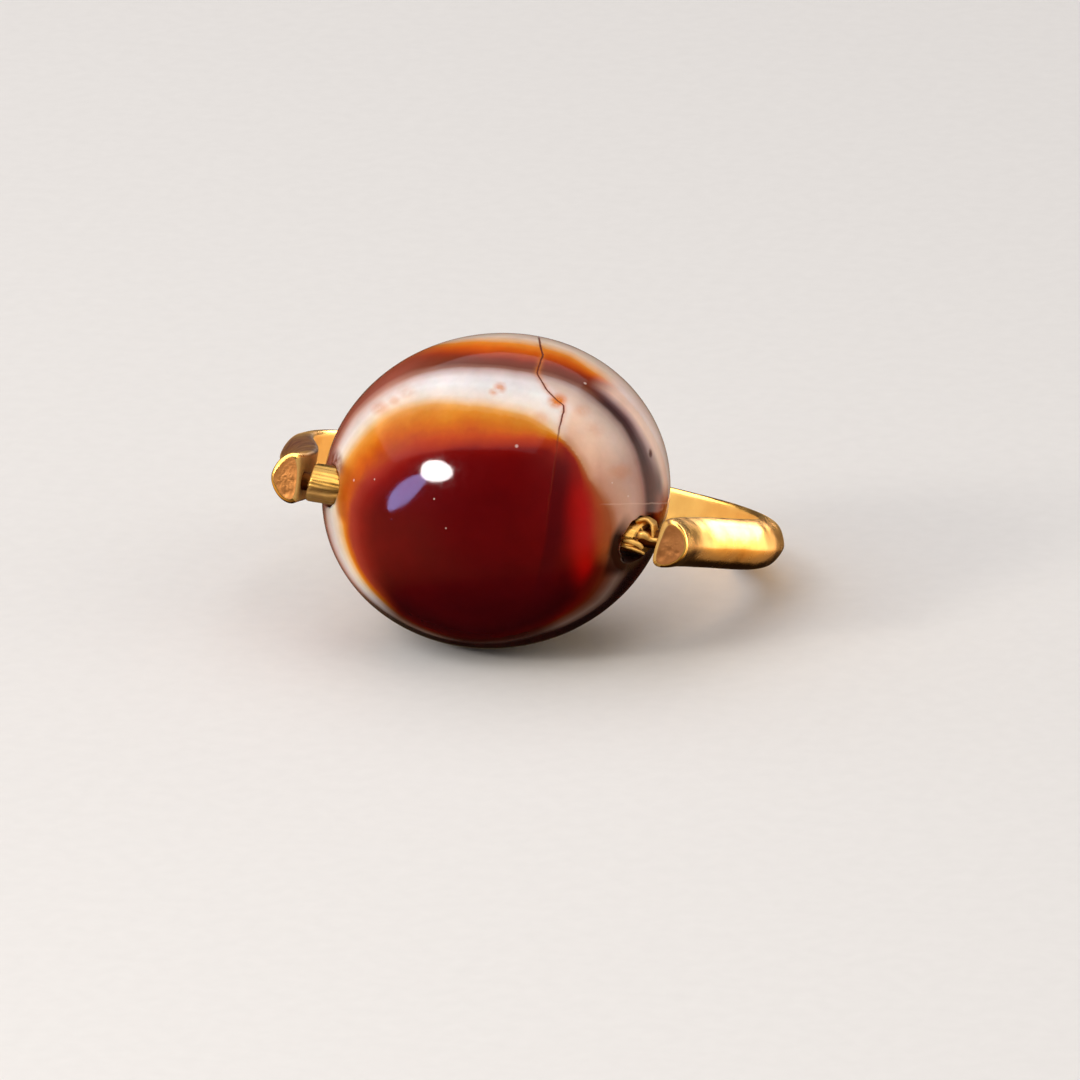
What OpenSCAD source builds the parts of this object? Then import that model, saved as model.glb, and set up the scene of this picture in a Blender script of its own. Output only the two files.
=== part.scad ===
// Swivel ring: a gold hoop whose two ends carry a pin, and a banded agate bead that turns on it.
// Millimetres. Z is up and the floor is at zero. The ring lies as it rests by itself, on the belly
// of the bead and on the underside of the hoop's rear bend, with the pin across the front.
//
// The pieces are first made level, round the middle of the pin: X runs along the pin to the right,
// Y back through the hoop and Z out of the hoop's plane. as_it_lies() then tips them all together.

/* [Hoop] */
// Widest inside width of the hoop
hoop_inside = 19.8; // [18.6:0.1:21]
// From the pin back to the inside of the rear bend
hoop_depth = 18.4; // [17.6:0.1:20]
// Height of the bar, across the finger's length
bar_tall = 2.24; // [2.0:0.02:2.5]
// Thickness of the bar, from its flat inner face to its round back
bar_thick = 1.32; // [1.25:0.01:1.5]
// Clear width between the flats of the two ends, where the bead sits
end_gap = 15.8; // [15.6:0.1:16.4]
// How far the two ends reach past the front of the pin's axis
end_overhang = 0.72; // [0.6:0.02:1.2]
// Thickness of the left end, which was hammered thinner
left_end_thick = 1.2; // [1.1:0.02:1.4]
// Thickness of the right end
right_end_thick = 1.38; // [1.2:0.02:1.5]
// Height of both ends
end_tall = 2.12; // [1.9:0.02:2.3]
// How far the left arm sags out of the hoop's plane
left_sag = 0.42; // [0:0.02:0.6]

/* [Pin and sleeve] */
// Diameter of the hidden pin wire
pin_d = 0.8; // [0.7:0.02:0.84]
// How deep each end of the pin sits in the hoop
pin_seat = 0.85; // [0.6:0.05:0.9]
// Outer diameter of the rolled strip round the pin
sleeve_d = 1.46; // [1.4:0.02:1.5]
// Thickness of the rolled strip
strip_thick = 0.26; // [0.2:0.01:0.28]
// Gap between the left flat and the rolled strip
sleeve_left_gap = 0.35; // [0.2:0.05:0.5]
// Gap between the right flat and the strip's folded end
sleeve_right_gap = 0.12; // [0.1:0.02:0.3]

/* [Agate bead] */
// Length of the bead
bead_length = 15.5; // [15:0.1:15.6]
// Height of the bead as it lies
bead_height = 13.5; // [13:0.1:13.6]
// Depth of the bead, front to back
bead_depth = 12.8; // [12.2:0.1:13]
// From the pin's axis back to the middle of the bead
bead_back = 2.6; // [2.4:0.02:2.8]
// From the pin's axis up to the middle of the bead
bead_up = 0.74; // [0.6:0.02:1]
// Clearance round the strip in the drilled hole, on the radius
bore_clearance = 0.07; // [0.03:0.01:0.1]
// Diameter of the chipped mouth of the hole on the right
right_mouth_d = 2.9; // [2:0.1:3.2]
// Diameter of the neater mouth on the left
left_mouth_d = 2.1; // [1.8:0.1:2.6]

/* [How it lies] */
// Height of the pin's middle above the floor
pin_height = 7.01; // [6.9:0.01:7.1]
// How far the hoop's rear drops from the level
pitch = 17.6; // [17.4:0.1:18]
// How far the right side drops from the level
roll = 7.6; // [7.4:0.1:7.8]

/* [Hidden] */

GOLD = "#dda648";
DULL_GOLD = "#b98235";
AGATE = "#6e0f0c";

hoop_half = hoop_inside / 2;
end_half = end_gap / 2;

// Pegs that pull the inner face of the bar into its curve, from the rear bend round to one end.
// across and back are shares of the half width and of the depth; thick and tall are in
// millimetres; sag is the share of the arm's sag that the peg takes.
// [across, back, thick, tall, sag]
BEND_PEGS = [
    [0.000, 1.020, bar_thick, bar_tall, 0],
    [0.448, 0.973, bar_thick, bar_tall, 0],
    [0.790, 0.839, bar_thick, bar_tall, 0],
    [0.984, 0.653, bar_thick, bar_tall, 0],
    [1.015, 0.468, bar_thick, bar_tall, 0.25],
    [0.889, 0.298, bar_thick + 0.04, bar_tall, 0.5],
];

// The two pegs of the straight end stub stand in line, so the flat runs straight to its end.
// [across, back, tall, sag]
END_PEGS = [
    [end_half - 0.02, 2.43, bar_tall - 0.06, 0.75],
    [end_half, -end_overhang, end_tall, 1],
];

BEND_STEPS = 5;        // rings of the skin between two pegs
ROUND_STEPS = 14;      // facets of the bar's round back
FLAT_SHARE = 0.92;     // how much of the bar's height the flat inner face takes
BACK_FULLNESS = 0.9;   // below 1 the back is fuller than an ellipse

// One side of the hoop: side is -1 for the left and 1 for the right.
// [across, back, thick, tall, drop]
function side_pegs(side, end_thick, sag) = [
    for (p = BEND_PEGS) [side * p[0] * hoop_half, p[1] * hoop_depth, p[2], p[3], -p[4] * sag],
    for (i = [0:1]) let (p = END_PEGS[i])
        [side * p[0], p[1], i == 0 ? bar_thick + 0.04 : end_thick, p[2], -p[3] * sag]
];

function reversed(list) = [for (i = [len(list) - 1:-1:0]) list[i]];

function without_first(list) = [for (i = [1:len(list) - 1]) list[i]];

// The first and last peg are repeated past the ends, so that the curve reaches them.
function extended(list) = let (n = len(list)) [
    2 * list[0] - list[1], each list, 2 * list[n - 1] - list[n - 2]
];

// Point of a uniform cubic B-spline at share s of the span that starts at peg i.
function blend(pegs, i, s) =
    (pow(1 - s, 3) * pegs[i]
     + (3 * pow(s, 3) - 6 * s * s + 4) * pegs[i + 1]
     + (-3 * pow(s, 3) + 3 * s * s + 3 * s + 1) * pegs[i + 2]
     + pow(s, 3) * pegs[i + 3]) / 6;

// Direction of travel along the same curve, not yet of unit length.
function heading(pegs, i, s) = let (d =
    -pow(1 - s, 2) * pegs[i] + (3 * s * s - 4 * s) * pegs[i + 1]
    + (-3 * s * s + 2 * s + 1) * pegs[i + 2] + s * s * pegs[i + 3])
    [d[0], d[1]] / norm([d[0], d[1]]);

// Outline of the bar, flat face first. Each point is [outwards, up], and the list runs round once.
function bar_outline(thick, tall) = [
    [0, -FLAT_SHARE * tall / 2],
    [0, FLAT_SHARE * tall / 2],
    for (k = [0:ROUND_STEPS]) let (a = 84 - 168 * k / ROUND_STEPS)
        [thick * pow(cos(a), BACK_FULLNESS), tall / 2 * sin(a)]
];

// One ring of the skin: the outline set square to the curve, its flat face to the inside.
function ring_of(peg, dir) = [
    for (q = bar_outline(peg[2], peg[3]))
        [peg[0] - dir[1] * q[0], peg[1] + dir[0] * q[0], peg[4] + q[1]]
];

// The bar is one skin from the left end round the rear to the right end.
module bent_bar() {
    pegs = extended(concat(
        reversed(side_pegs(-1, left_end_thick, left_sag)),
        without_first(side_pegs(1, right_end_thick, 0))
    ));
    spans = len(pegs) - 3;
    places = [for (i = [0:spans - 1], k = [0:BEND_STEPS - 1]) [i, k / BEND_STEPS], [spans - 1, 1]];
    rings = [for (p = places) ring_of(blend(pegs, p[0], p[1]), heading(pegs, p[0], p[1]))];
    around = len(rings[0]);
    last = len(rings) - 1;
    polyhedron(
        points = [for (r = rings) each r],
        faces = [
            [for (j = [around - 1:-1:0]) j],
            for (i = [0:last - 1], j = [0:around - 1]) let (
                a = i * around + j, b = i * around + (j + 1) % around)
                [a, b, b + around, a + around],
            [for (j = [0:around - 1]) last * around + j],
        ],
        convexity = 6
    );
}

// The pin runs between the middles of the two ends, so it slants with the sagging left arm.
pin_rise_right = 0.08;
pin_rise_left = -left_sag - 0.04;
pin_set_back = 0.07;
pin_slant = atan2(pin_rise_right - pin_rise_left, end_gap);
pin_length = end_gap + 2 * pin_seat;
seat_r = pin_d / 2 + 0.02;
bore_r = sleeve_d / 2 + bore_clearance;

// Puts a child's Z along the pin, with zero at the pin's middle.
module along_pin() {
    translate([0, pin_set_back, (pin_rise_left + pin_rise_right) / 2])
        rotate([0, 90 - pin_slant, 0]) children();
}

// Bar with a blind seat for the pin in each flat.
module hoop() {
    color(GOLD) as_it_lies() difference() {
        bent_bar();
        along_pin() cylinder(h = pin_length + 0.06, r = seat_r, center = true, $fn = 48);
    }
}

// Plain wire from seat to seat, hidden in the rolled strip.
module pin() {
    color(DULL_GOLD) as_it_lies() along_pin()
        cylinder(h = pin_length, d = pin_d, center = true, $fn = 48);
}

// The strip's long edges show as furrows along the roll. The right end was folded over into a
// small loop and a tongue that reaches for the hoop's flat.
FURROWS = [20, 95, 150, 205, 285];   // places round the roll, in degrees
furrow_wide = 0.1;
furrow_deep = 0.12;
sleeve_left = -end_half + sleeve_left_gap;
sleeve_right = end_half - sleeve_right_gap;
roll_right = sleeve_right - 0.5;     // where the plain roll stops and the folded end starts
roll_length = roll_right - sleeve_left;
sleeve_r = sleeve_d / 2;
sleeve_inner_r = sleeve_r - strip_thick;

module sleeve() {
    color(GOLD) as_it_lies() along_pin() difference() {
        union() {
            translate([0, 0, sleeve_left]) cylinder(h = roll_length, r = sleeve_r, $fn = 64);
            fold_tongue();
            fold_loop();
        }
        cylinder(h = 2 * pin_length, r = sleeve_inner_r, center = true, $fn = 48);
        for (a = FURROWS) rotate([0, 0, a])
            translate([sleeve_r, 0, sleeve_left + roll_length / 2])
                cube([2 * furrow_deep, furrow_wide, roll_length + 0.2], center = true);
    }
}

// Narrower turn of the strip that runs on past the roll.
module fold_tongue() {
    translate([0, 0, roll_right - 0.1])
        cylinder(h = sleeve_right - roll_right + 0.1, r = sleeve_r - 0.1, $fn = 64);
}

// The fold that stands up at the top of the right end, with its eye open to the front.
fold_r = 0.3;
module fold_loop() {
    translate([-sleeve_r + 0.02, 0, roll_right + 0.1]) rotate([90, 0, 0]) difference() {
        cylinder(h = 0.7, r = fold_r, center = true, $fn = 32);
        cylinder(h = 0.8, r = fold_r - 0.14, center = true, $fn = 32);
    }
}

// Turns that set the bead's own axes in the level ring: it was drilled askew, in front of its
// middle, so its length points a little back on the left and it hangs nose down.
BEAD_TURN = [-10, -17.7, -16];
BEAD_FACETS = 64;
bead_middle = [-0.1, bead_back + pin_set_back, bead_up + (pin_rise_left + pin_rise_right) / 2];

module agate_bead() {
    color(AGATE) as_it_lies() difference() {
        translate(bead_middle) rotate(BEAD_TURN)
            resize([bead_length, bead_depth, bead_height]) sphere(d = bead_length, $fn = BEAD_FACETS);
        along_pin() {
            cylinder(h = 2 * bead_length, r = bore_r, center = true, $fn = 64);
            mouth(right_mouth_d, 7.35, 1.2);
            rotate([180, 0, 0]) mouth(left_mouth_d, 6.5, 0.6);
        }
    }
}

// A worn funnel where the drill came out: wide at place, narrowing to the bore over depth.
module mouth(wide, place, depth) {
    slope = (wide / 2 - bore_r) / depth;
    translate([0, 0, place - depth])
        cylinder(h = 2 * depth, r1 = bore_r, r2 = bore_r + 2 * depth * slope, $fn = 64);
}

// Brings the middle of the whole ring over the origin.
centre_shift = [0.39, -7.55];

module as_it_lies() {
    translate([centre_shift[0], centre_shift[1], pin_height])
        rotate([0, roll, 0]) rotate([-pitch, 0, 0]) children();
}

hoop();
pin();
sleeve();
agate_bead();
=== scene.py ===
# %% [markdown]
# # A gold swivel ring with a banded agate bead
# The ring is a bar of high-carat gold bent into a stirrup. A pin joins its two cut ends, a gold
# strip is rolled round the pin, and a drilled agate bead turns on the strip. It lies as it comes
# to rest by itself, on the belly of the bead and on the underside of the rear bend.
#
# The built solids arrive first, as a frame. Every piece below is made in the same place as its
# solid, only finer, so nothing has to be fitted afterwards.

# %% Load the built frame
import math

import bpy
import numpy as np
from mathutils import Matrix, Quaternion, Vector, noise


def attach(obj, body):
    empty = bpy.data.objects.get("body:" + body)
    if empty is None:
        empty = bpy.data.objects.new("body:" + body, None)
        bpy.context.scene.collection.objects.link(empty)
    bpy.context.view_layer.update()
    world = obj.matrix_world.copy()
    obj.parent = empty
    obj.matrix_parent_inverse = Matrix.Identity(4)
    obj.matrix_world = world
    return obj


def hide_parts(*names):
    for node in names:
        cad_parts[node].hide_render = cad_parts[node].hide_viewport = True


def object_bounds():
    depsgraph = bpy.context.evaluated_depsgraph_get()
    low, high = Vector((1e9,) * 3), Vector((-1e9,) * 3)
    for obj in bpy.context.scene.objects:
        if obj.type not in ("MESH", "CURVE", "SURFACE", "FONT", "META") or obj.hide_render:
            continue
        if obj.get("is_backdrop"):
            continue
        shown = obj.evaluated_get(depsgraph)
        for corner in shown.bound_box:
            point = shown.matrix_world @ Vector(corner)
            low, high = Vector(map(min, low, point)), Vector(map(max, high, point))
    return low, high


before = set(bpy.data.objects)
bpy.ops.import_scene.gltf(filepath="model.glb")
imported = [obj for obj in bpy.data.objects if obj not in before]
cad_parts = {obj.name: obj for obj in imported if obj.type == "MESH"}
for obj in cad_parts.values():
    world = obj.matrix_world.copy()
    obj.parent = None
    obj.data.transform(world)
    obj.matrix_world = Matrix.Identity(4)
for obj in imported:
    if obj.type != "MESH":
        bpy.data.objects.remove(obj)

cad_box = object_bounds()
print("box of the solids, mm:", [[round(c * 1000, 2) for c in corner] for corner in cad_box])

# %% [markdown]
# ## How the ring lies
# It is easiest to make a ring level, with X along the pin, Y back through the hoop and Z out of
# the hoop's plane, and to tip the finished piece afterwards. One matrix does the tipping and
# brings the middle of the ring over the origin. All sizes are in millimetres until that step.

# %% The tipping, and a second frame along the pin
MM = 0.001
PITCH, ROLL = 17.6, 7.6              # degrees that the rear and the right side drop
PIN_MIDDLE = (0.39, -7.55, 7.01)     # where the level ring's origin ends up
LIE = (Matrix.Translation(PIN_MIDDLE)
       @ Matrix.Rotation(math.radians(ROLL), 4, "Y")
       @ Matrix.Rotation(math.radians(-PITCH), 4, "X"))

END_GAP = 15.8                       # clear width between the flats of the two ends
PIN_RISE_LEFT, PIN_RISE_RIGHT, PIN_BACK = -0.46, 0.08, 0.07
PIN_SLANT = math.atan2(PIN_RISE_RIGHT - PIN_RISE_LEFT, END_GAP)
PIN_SPOT = np.array([0, PIN_BACK, (PIN_RISE_LEFT + PIN_RISE_RIGHT) / 2])
# Columns: a direction towards the top of the pin, one towards its rear, and along it.
PIN_AXES = np.array([[-math.sin(PIN_SLANT), 0, math.cos(PIN_SLANT)],
                     [0, 1, 0],
                     [math.cos(PIN_SLANT), 0, math.sin(PIN_SLANT)]]).T
LYING_TURN = np.array(LIE.to_3x3())


def lying(points):
    """Level millimetres to the metres of the frame, tipped as the ring lies."""
    points = np.asarray(points, float).reshape(-1, 3)
    return (points @ LYING_TURN.T + np.array(LIE.translation)) * MM


def on_pin(points):
    """Points given as (up, back, along) from the pin's middle, to level millimetres."""
    return np.asarray(points, float) @ PIN_AXES.T + PIN_SPOT


print("pin slant in degrees:", round(math.degrees(PIN_SLANT), 2))

# %% [markdown]
# ## One way to make every skin
# A bent bar, a rolled strip and a drilled bead are all the same kind of surface: a row of closed
# rings. They could be extruded, lofted or cut with booleans. Rings of points joined by quads are
# chosen, because each point can then be moved a little for wear, and the mesh stays clean.

# %% Rings to mesh
def in_scene(name, data):
    """An object with this name and data, put into the scene."""
    made = bpy.data.objects.new(name, data)
    bpy.context.scene.collection.objects.link(made)
    return made


def skin(name, *parts):
    """Makes one piece from parts, each a pair of rings of level points and how the rings end:
    "joined" for a skin that closes on itself lengthwise, or "capped" for one shut at both ends."""
    points, faces = [], []
    for rings, ends in parts:
        rings = np.asarray(rings, float)
        count, around = rings.shape[:2]
        base = len(points)
        points += rings.reshape(-1, 3).tolist()
        for i in range(count if ends == "joined" else count - 1):
            a, b = base + i * around, base + (i + 1) % count * around
            faces += [(a + j, a + (j + 1) % around, b + (j + 1) % around, b + j) for j in range(around)]
        if ends == "capped":
            tip, stop = len(points), base + (count - 1) * around
            points += [rings[0].mean(0).tolist(), rings[-1].mean(0).tolist()]
            faces += [(tip, base + (j + 1) % around, base + j) for j in range(around)]
            faces += [(tip + 1, stop + j, stop + (j + 1) % around) for j in range(around)]
    mesh = bpy.data.meshes.new(name)
    mesh.from_pydata(lying(points).tolist(), [], faces)
    mesh.update()
    mesh.shade_smooth()
    piece = in_scene(name, mesh)
    print(name, "has", len(mesh.vertices), "points and", len(mesh.polygons), "faces")
    return piece


# %% A little unevenness
def uneven(points, size, seed=0.0):
    """A smooth random value from -1 to 1 at each point, in lumps of about size millimetres."""
    scaled = np.asarray(points, float).reshape(-1, 3) / size + seed
    return np.array([noise.noise(Vector(p)) for p in scaled]).reshape(np.shape(points)[:-1])


def bump_at(points, spot, radius):
    """1 at a spot, falling smoothly to 0 at the radius."""
    away = np.linalg.norm(points - np.asarray(spot, float), axis=-1) / radius
    return np.clip(1 - away * away, 0, 1) ** 2


def smooth(value, low, high):
    """0 below low, 1 above high, with a smooth rise between."""
    t = np.clip((value - low) / (high - low), 0, 1)
    return t * t * (3 - 2 * t)


def rubbed(loop):
    """A closed row of points, each moved to the average of itself and its two neighbours."""
    return (loop + np.roll(loop, 1, 0) + np.roll(loop, -1, 0)) / 3


# %% [markdown]
# ## The hoop
# The real hoop is a cast bar, flat inside and round outside, bent until its ends face each other.
# Its middle line is drawn by a few pegs that pull a smooth curve, as a maker pulls a bar round
# the pegs of a jig. The same pegs shape the solid, so this finer skin lies inside it.

# %% Pegs of the hoop
HOOP_HALF, HOOP_DEPTH = 19.8 / 2, 18.4
BAR_TALL, BAR_THICK, ARM_THICK = 2.24, 1.32, 1.36
END_TALL, END_OVERHANG, LEFT_END, RIGHT_END = 2.12, 0.72, 1.2, 1.38
WAIST_BACK = 2.43                    # where an arm turns straight, measured back from the pin
LEFT_SAG = 0.42

# share of half width, share of depth, thickness, share of the left arm's sag
BEND_PEGS = [
    (0.000, 1.020, BAR_THICK, 0),
    (0.448, 0.973, BAR_THICK, 0),
    (0.790, 0.839, BAR_THICK, 0),
    (0.984, 0.653, BAR_THICK, 0),
    (1.015, 0.468, BAR_THICK, 0.25),
    (0.889, 0.298, ARM_THICK, 0.5),
]


def side_pegs(side, end_thick, sag):
    """One side of the hoop. Columns: across, back, thick, tall, drop."""
    pegs = [(side * a * HOOP_HALF, b * HOOP_DEPTH, t, BAR_TALL, -s * sag) for a, b, t, s in BEND_PEGS]
    half = END_GAP / 2
    pegs.append((side * (half - 0.02), WAIST_BACK, ARM_THICK, BAR_TALL - 0.06, -0.75 * sag))
    pegs.append((side * half, -END_OVERHANG, end_thick, END_TALL, -sag))
    return pegs


pegs = np.array(side_pegs(-1, LEFT_END, LEFT_SAG)[::-1] + side_pegs(1, RIGHT_END, 0)[1:])
pegs = np.vstack([2 * pegs[0] - pegs[1], pegs, 2 * pegs[-1] - pegs[-2]])
spans = len(pegs) - 3
print("spans of the hoop's curve:", spans)

# %% The curve that the pegs pull
def pulled(t):
    """Peg values and heading at place t of the curve, which runs from 0 to spans."""
    i = min(int(t), spans - 1)
    s = t - i
    near = pegs[i:i + 4]
    weight = np.array([(1 - s) ** 3, 3 * s ** 3 - 6 * s * s + 4,
                       -3 * s ** 3 + 3 * s * s + 3 * s + 1, s ** 3]) / 6
    pull = np.array([-(1 - s) ** 2, 3 * s * s - 4 * s, -3 * s * s + 2 * s + 1, s * s])
    heading = (pull @ near)[:2]
    return weight @ near, heading / np.linalg.norm(heading)


SPAN_STEPS = 36
RIM_ZONE = 0.32                      # mm from each end in which the rings lie close
stub = END_OVERHANG + WAIST_BACK     # length of the last span, which is straight
rim_steps = [d / stub for d in (0, 0.01, 0.03, 0.06, 0.1, 0.15, 0.21, 0.28, RIM_ZONE)]
middle = np.arange(SPAN_STEPS * spans + 1) / SPAN_STEPS
inner = middle[(middle > rim_steps[-1] * 1.2) & (middle < spans - rim_steps[-1] * 1.2)]
places = np.concatenate([rim_steps, inner, spans - np.array(rim_steps[::-1])])
print("rings along the hoop:", len(places))

# %% [markdown]
# The outline of the bar is a D. Its corners are worn, and the round back keeps the long facets of
# the hammer that shaped it, which split the highlight into bands. The points are first laid out
# sharp and then averaged round the loop, which rounds the corners evenly. The two ends are worn
# rounder than the rest, are a little stouter, and were left slightly twisted.

# %% Outline of the bar
AROUND = 64
FLAT_SHARE, BACK_FULLNESS = 0.92, 0.9
FACET, FACET_EDGE = 55, -2           # a facet's width and where one begins, degrees up the back
FACET_DEPTH = 0.42                   # 0 for a round back, 1 for a true polygon
RUBBED, RUBS = 1.6, 12               # how far in from an end, mm, and how often corners are rubbed
END_TWIST = math.radians(6)
# Left and right end: radius of the worn rim in mm, share by which the end is stouter, and where
# the rim is worn wider still, as (degrees from outwards to up, mm).
END_WEAR = [(0.096, 0.12, [(75, 0.176), (-75, 0.112)]),
            (0.144, 0.045, [(110, 0.064)])]


def bar_outline(thick, tall):
    """Points [outwards, up] round the bar, evenly spaced, starting on the flat."""
    back = np.radians(np.linspace(84, -84, 60))
    within_facet = np.radians((np.degrees(back) - FACET_EDGE) % FACET - FACET / 2)
    full = 1 - FACET_DEPTH * (1 - math.cos(math.radians(FACET / 2)) / np.cos(within_facet))
    curve = np.c_[thick * np.cos(back) ** BACK_FULLNESS * full, tall / 2 * np.sin(back)]
    flat = np.c_[np.zeros(24), np.linspace(-1, 1, 24) * FLAT_SHARE * tall / 2]
    loop = np.vstack([flat, curve, flat[:1]])
    length = np.r_[0, np.cumsum(np.linalg.norm(np.diff(loop, axis=0), axis=1))]
    at = np.arange(AROUND) / AROUND * length[-1]
    return rubbed(np.c_[np.interp(at, length, loop[:, 0]), np.interp(at, length, loop[:, 1])])


print("points round the bar:", len(bar_outline(BAR_THICK, BAR_TALL)))

# %% Rings of the hoop
def hoop_ring(t):
    """One ring of the hoop, its flat to the inside. Near the cut ends the corners of the D are
    rubbed rounder, and the rim is worn a quarter round, widest on one side."""
    peg, heading = pulled(t)
    rim, stouter, worn_places = END_WEAR[int(t > spans / 2)]
    from_end = min(t, spans - t) * stub
    near_end = max(0.0, 1 - from_end / RUBBED)
    out = bar_outline(peg[2], peg[3])
    for _ in range(round(RUBS * near_end)):
        out = rubbed(out)
    half = peg[2:4] / 2
    centre = np.array([half[0], 0])
    out -= centre
    turn = np.arctan2(out[:, 1], out[:, 0])
    radius = rim + sum(wider * np.clip(np.cos(turn - math.radians(worn)), 0, 1) ** 2
                       for worn, wider in worn_places)
    shrink = radius - np.sqrt(np.maximum(radius ** 2 - np.maximum(radius - from_end, 0) ** 2, 0))
    out *= (1 - shrink[:, None] / half) * (1 + stouter * near_end)
    twist = -END_TWIST * near_end * near_end
    out = out @ [[math.cos(twist), math.sin(twist)], [-math.sin(twist), math.cos(twist)]] + centre
    return np.c_[peg[0] - heading[1] * out[:, 0], peg[1] + heading[0] * out[:, 0], peg[4] + out[:, 1]]


rings = np.array([hoop_ring(t) for t in places])
print("hoop, mm wide outside:", round(float(np.ptp(rings[..., 0])), 2))

# %% [markdown]
# Wear comes next. Hand work leaves the bar slightly wavy, years of wear add shallow dents, and a
# fine crease crosses the left waist. All of it moves points by hundredths of a millimetre, which
# is enough to break up the reflections. A texture could only tilt the light: moved points also
# change the outline.

# %% Waves, dents and a crease
WAVE, RIPPLE = 0.014, 0.005          # mm
CREASE_BACK, CREASE_HALF, CREASE_DEEP = 5.2, 0.07, 0.02
PROUDEST = 0.004                     # mm that wear may raise a point at most
# across, back, up, radius, depth, in level millimetres
DENTS = [
    (9.6, 3.6, 0.7, 1.1, 0.035),
    (9.9, 5.6, -0.4, 0.8, 0.03),
    (10.9, 8.4, 0.5, 0.9, 0.03),
    (8.9, 1.2, -0.7, 0.5, 0.03),
    (-9.4, 2.6, 0.5, 0.7, 0.045),
    (-9.1, 1.0, 0.9, 0.5, 0.04),
    (-8.6, 3.2, 1.0, 0.45, 0.05),
    (-10.6, 9.5, 0.3, 1.0, 0.035),
    (-4.8, 18.6, 0.6, 1.2, 0.03),
    (3.4, 19.2, -0.5, 1.3, 0.03),
]
outward = rings - rings.mean(1, keepdims=True)
outward /= np.linalg.norm(outward, axis=-1, keepdims=True)
move = WAVE * (uneven(rings, 2.6) - 0.35) + RIPPLE * uneven(rings, 0.7, 5.0)
for *spot, radius, depth in DENTS:
    move -= depth * bump_at(rings, spot, radius)
from_crease = rings[..., 1] - CREASE_BACK - 0.3 * rings[..., 2]
move -= CREASE_DEEP * np.exp(-(from_crease / CREASE_HALF) ** 2) * (rings[..., 0] < 0)
rings += outward * np.minimum(move, PROUDEST)[..., None]
print("deepest wear on the hoop, mm:", round(float(-move.min()), 3))

# %% [markdown]
# Each end was cut off flat and left rough. A single flat face would do, but the cap is made of
# shrinking rings, so that it has points to hold the pits and the slight hollow of the saw.

# %% Cut ends
CAP_STEPS = 14
CAP_RINGS = CAP_STEPS - 1
HOLLOW, FILED, GRAINY = 0.02, 0.008, 0.014    # mm
# place on the cap as shares of its half sizes (outwards, up), radius in mm, depth in mm
RIGHT_PITS = [(0.05, -0.25, 0.16, 0.05), (0.55, -0.3, 0.13, 0.045),
              (-0.4, 0.35, 0.22, 0.03), (-0.5, -0.6, 0.24, 0.05)]
LEFT_PITS = [(-0.1, 0.3, 0.2, 0.012), (0.5, -0.1, 0.16, 0.015),
             (0.1, -0.75, 0.2, 0.03), (0.6, 0.6, 0.12, 0.02)]


def cap(rim_ring, pits, seed):
    """Rings from a cut end's rim in to its middle, with file marks and pits."""
    middle_point = rim_ring.mean(0)
    rim = rim_ring - middle_point
    wide, high = np.abs(rim[:, 0]).max(), np.abs(rim[:, 2]).max()
    made = []
    for k in range(1, CAP_STEPS):
        out = 1 - k / CAP_STEPS
        flat = rim * out
        sunk = HOLLOW * (1 - out ** 4) - FILED * uneven(middle_point + flat, 0.28, seed)
        sunk -= GRAINY * uneven(middle_point + flat, 0.1, seed + 3)
        sunk *= min(1, k / 2)
        for x, z, radius, depth in pits:
            sunk += depth * bump_at(flat * [1, 0, 1], (x * wide, 0, z * high), radius)
        made.append(middle_point + flat + sunk[:, None] * [0, 1, 0])
    return made


left_cap = cap(rings[0], LEFT_PITS, 11.0)
right_cap = cap(rings[-1], RIGHT_PITS, 23.0)
all_rings = np.array(left_cap[::-1] + list(rings) + right_cap)[::-1]
hoop = skin("hoop_bar", (all_rings, "capped"))

# %% [markdown]
# Marks are numbers kept on the points, for the finish to read. They could be painted by hand on a
# picture of the unfolded skin. Worked out from each point's place they stay sharp, and need none.
#
# The flat against the finger is rubbed satin, and its mark also paints it a little lighter, as painted
# light. A brown film is left where nothing rubs: on the flats beside the pin and on the right arm's cut
# face. The top of the left arm and the right arm's corners get the same brown as painted shade.

# %% Marks on the hoop's points
def mark(piece, name, *values):
    """Keeps one number for each point of a piece: for its rings, then for its closing points."""
    layer = piece.data.attributes.new(name, "FLOAT", "POINT")
    layer.data.foreach_set("value", np.concatenate([np.ravel(v) for v in values]).astype(np.float32))


on_cap = np.zeros(all_rings.shape[:2])
on_cap[:CAP_RINGS] = on_cap[-CAP_RINGS:] = 1
on_cap[[CAP_RINGS, -CAP_RINGS - 1]] = 0.7
mark(hoop, "cut_face", on_cap, [1, 1])

across, back, up = np.moveaxis(all_rings, -1, 0)
# Of the points round the bar the first lie on the flat, and its two corners are next to them.
on_flat, on_corner = np.zeros(AROUND), np.zeros(AROUND)
on_flat[1:22] = 1
on_corner[22:26] = (0.7, 1.0, 0.9, 0.4)
on_corner[60:] = (0.4, 0.8, 1.0, 0.7)
satin = on_flat * (on_cap < 1)
from_end = (back + END_OVERHANG) / 3.2
left_film = 0.62 * satin * np.clip(1.25 - from_end, 0, 1) * (across < 0)
right_film = 0.5 * satin * np.clip(1.2 - from_end, 0, 1) * (across > 0)
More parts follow.
